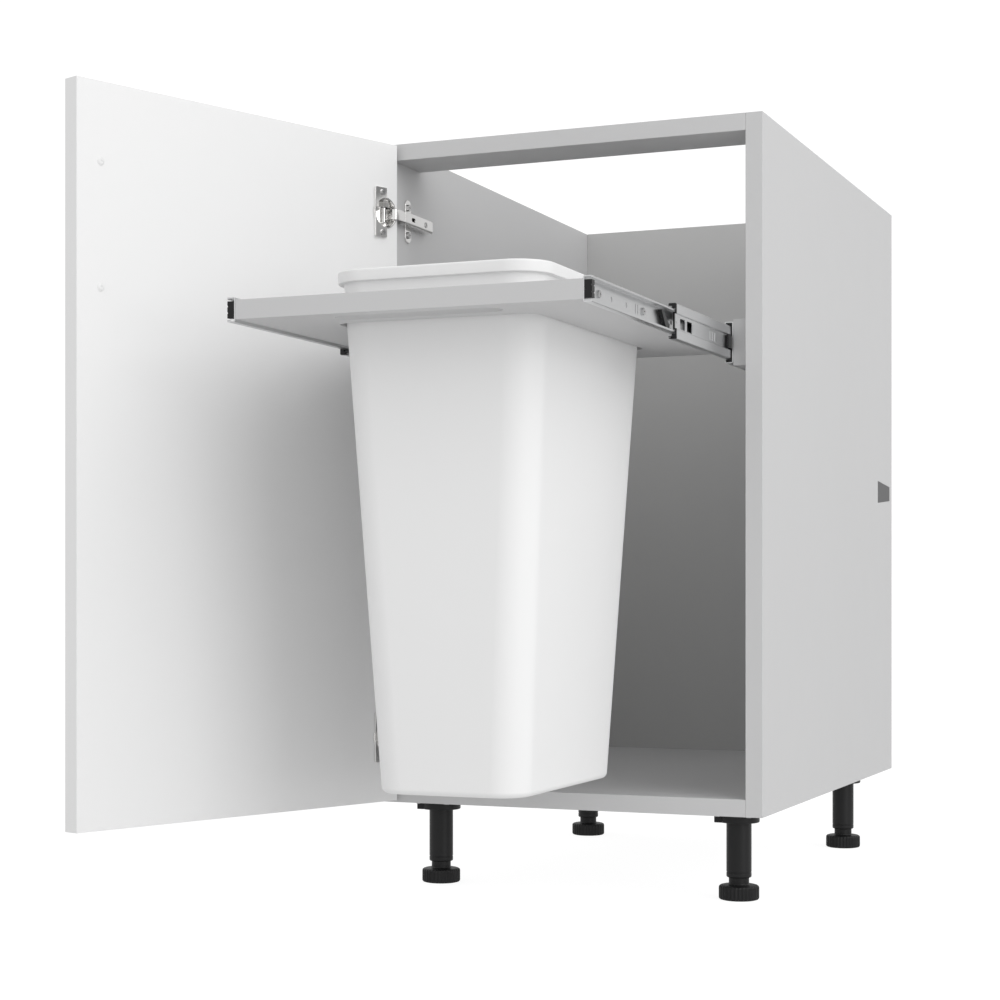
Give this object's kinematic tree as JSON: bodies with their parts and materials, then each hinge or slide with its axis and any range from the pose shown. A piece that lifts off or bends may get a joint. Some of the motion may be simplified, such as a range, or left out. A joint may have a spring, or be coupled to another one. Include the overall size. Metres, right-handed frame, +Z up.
{
  "type": "pull-out waste bin cabinet",
  "caption": "Kitchen base cabinet on levelling legs, with a hinged door standing open and a tray on ball-bearing slides that pulls out and carries a tapered lift-out waste bin",
  "frame": {"origin": "middle of the whole object's box, on the floor under the feet", "axes": "+X from the door's side to the other side of the cabinet, +Y from the open front to the back, +Z up"},
  "size_m": [0.6032, 1.1186, 0.862],
  "materials": {
    "carcass_board": "satin painted board, light grey white",
    "back_board": "satin painted board",
    "door_board": "satin white paint with a fine orange-peel texture",
    "dowel_wood": "plain planed beech",
    "wedge_plastic": "matte dark grey",
    "leg_plastic": "black, slightly glossy moulded plastic",
    "foot_plastic": "black moulded plastic",
    "black_plastic": "black moulded plastic",
    "nickel": "nickel plated pressed steel",
    "hinge_steel": "bright drawn steel",
    "screw_steel": "zinc plated",
    "slide_steel": "zinc plated rolled steel",
    "cage_steel": "dull pressed steel",
    "ball_steel": "polished, lightly greased",
    "cap_plastic": "white",
    "bin_plastic": "white moulded plastic, soft sheen"
  },
  "bodies": {
    "cabinet": {"side_panel_left": "carcass_board", "side_panel_right": "carcass_board", "bottom_panel": "carcass_board", "back_panel": "back_board", "front_rail": "carcass_board", "wedge_left": "wedge_plastic", "wedge_right": "wedge_plastic", "panel_dowels": "dowel_wood", "leg_bracket_front_left": "leg_plastic", "leg_bracket_front_right": "leg_plastic", "leg_bracket_rear_left": "leg_plastic", "leg_bracket_rear_right": "leg_plastic", "leg_tube_front_left": "leg_plastic", "leg_tube_front_right": "leg_plastic", "leg_tube_rear_left": "leg_plastic", "leg_tube_rear_right": "leg_plastic", "leg_screws": "screw_steel", "hinge_arm_upper": "nickel", "hinge_arm_lower": "nickel", "hinge_plate_upper": "nickel", "hinge_plate_lower": "nickel", "hinge_plate_screws": "screw_steel", "spacer_left": "carcass_board", "spacer_right": "carcass_board", "spacer_screws": "screw_steel", "slide_outer_left": "slide_steel", "slide_outer_right": "slide_steel", "slide_stops": "black_plastic"},
    "levelling_foot_front_left": {"foot_front_left": "foot_plastic"},
    "levelling_foot_front_right": {"foot_front_right": "foot_plastic"},
    "levelling_foot_rear_left": {"foot_rear_left": "foot_plastic"},
    "levelling_foot_rear_right": {"foot_rear_right": "foot_plastic"},
    "door": {"door_panel": "door_board", "handle_hole_caps": "cap_plastic", "hinge_cup_upper": "nickel", "hinge_cup_lower": "nickel", "hinge_pin_upper": "hinge_steel", "hinge_pin_lower": "hinge_steel", "hinge_cup_screws": "screw_steel"},
    "middle_member_left": {"slide_middle_left": "slide_steel", "retainer_left": "black_plastic"},
    "middle_member_right": {"slide_middle_right": "slide_steel", "retainer_right": "black_plastic"},
    "drawer": {"slide_inner_left": "slide_steel", "slide_inner_right": "slide_steel", "end_blocks": "black_plastic", "slide_screws": "screw_steel", "lever_pins": "hinge_steel", "bin_frame": "carcass_board"},
    "outer_ball_cage_left": {"outer_cage_left": "cage_steel", "outer_balls_left": "ball_steel"},
    "outer_ball_cage_right": {"outer_cage_right": "cage_steel", "outer_balls_right": "ball_steel"},
    "inner_ball_cage_left": {"inner_cage_left": "cage_steel", "inner_balls_left": "ball_steel"},
    "inner_ball_cage_right": {"inner_cage_right": "cage_steel", "inner_balls_right": "ball_steel"},
    "release_lever_left": {"release_lever_left": "black_plastic"},
    "release_lever_right": {"release_lever_right": "black_plastic"},
    "bin": {"bin": "bin_plastic"}
  },
  "joints": [
    {"name": "door_hinge", "type": "hinge", "parent": "cabinet", "child": "door", "pos_m": [-0.1425, -0.14027, 0.478], "axis": [0, 0, 1], "range_deg": [0, 22]},
    {"name": "drawer_slide", "type": "slide", "parent": "cabinet", "child": "drawer", "axis": [0, 1, 0], "range_m": [0, 0.45]},
    {"name": "middle_member_slide_left", "type": "slide", "parent": "cabinet", "child": "middle_member_left", "axis": [0, 1, 0], "range_m": [0, 0.225]},
    {"name": "outer_ball_cage_slide_left", "type": "slide", "parent": "cabinet", "child": "outer_ball_cage_left", "axis": [0, 1, 0], "range_m": [0, 0.1125]},
    {"name": "inner_ball_cage_slide_left", "type": "slide", "parent": "cabinet", "child": "inner_ball_cage_left", "axis": [0, 1, 0], "range_m": [0, 0.3375]},
    {"name": "middle_member_slide_right", "type": "slide", "parent": "cabinet", "child": "middle_member_right", "axis": [0, 1, 0], "range_m": [0, 0.225]},
    {"name": "outer_ball_cage_slide_right", "type": "slide", "parent": "cabinet", "child": "outer_ball_cage_right", "axis": [0, 1, 0], "range_m": [0, 0.1125]},
    {"name": "inner_ball_cage_slide_right", "type": "slide", "parent": "cabinet", "child": "inner_ball_cage_right", "axis": [0, 1, 0], "range_m": [0, 0.3375]},
    {"name": "bin_lift", "type": "slide", "parent": "drawer", "child": "bin", "axis": [0, 0, -1], "range_m": [-0.55, 0]},
    {"name": "release_lever_pivot_left", "type": "hinge", "parent": "drawer", "child": "release_lever_left", "pos_m": [-0.1087, -0.31717, 0.6091], "axis": [1, 0, 0], "range_deg": [0, 8], "stiffness_Nm_per_rad": 0.02},
    {"name": "release_lever_pivot_right", "type": "hinge", "parent": "drawer", "child": "release_lever_right", "pos_m": [0.2549, -0.31717, 0.6091], "axis": [1, 0, 0], "range_deg": [0, 8], "stiffness_Nm_per_rad": 0.02},
    {"name": "foot_thread_front_left", "type": "slide", "parent": "cabinet", "child": "levelling_foot_front_left", "axis": [0, 0, -1], "range_m": [0, 0.02]},
    {"name": "foot_thread_front_right", "type": "slide", "parent": "cabinet", "child": "levelling_foot_front_right", "axis": [0, 0, -1], "range_m": [0, 0.02]},
    {"name": "foot_thread_rear_left", "type": "slide", "parent": "cabinet", "child": "levelling_foot_rear_left", "axis": [0, 0, -1], "range_m": [0, 0.02]},
    {"name": "foot_thread_rear_right", "type": "slide", "parent": "cabinet", "child": "levelling_foot_rear_right", "axis": [0, 0, -1], "range_m": [0, 0.02]}
  ],
  "couplings": [
    {"joint": "middle_member_slide_left", "follows": "drawer_slide", "ratio": 0.5},
    {"joint": "outer_ball_cage_slide_left", "follows": "drawer_slide", "ratio": 0.25},
    {"joint": "inner_ball_cage_slide_left", "follows": "drawer_slide", "ratio": 0.75},
    {"joint": "middle_member_slide_right", "follows": "drawer_slide", "ratio": 0.5},
    {"joint": "outer_ball_cage_slide_right", "follows": "drawer_slide", "ratio": 0.25},
    {"joint": "inner_ball_cage_slide_right", "follows": "drawer_slide", "ratio": 0.75}
  ]
}
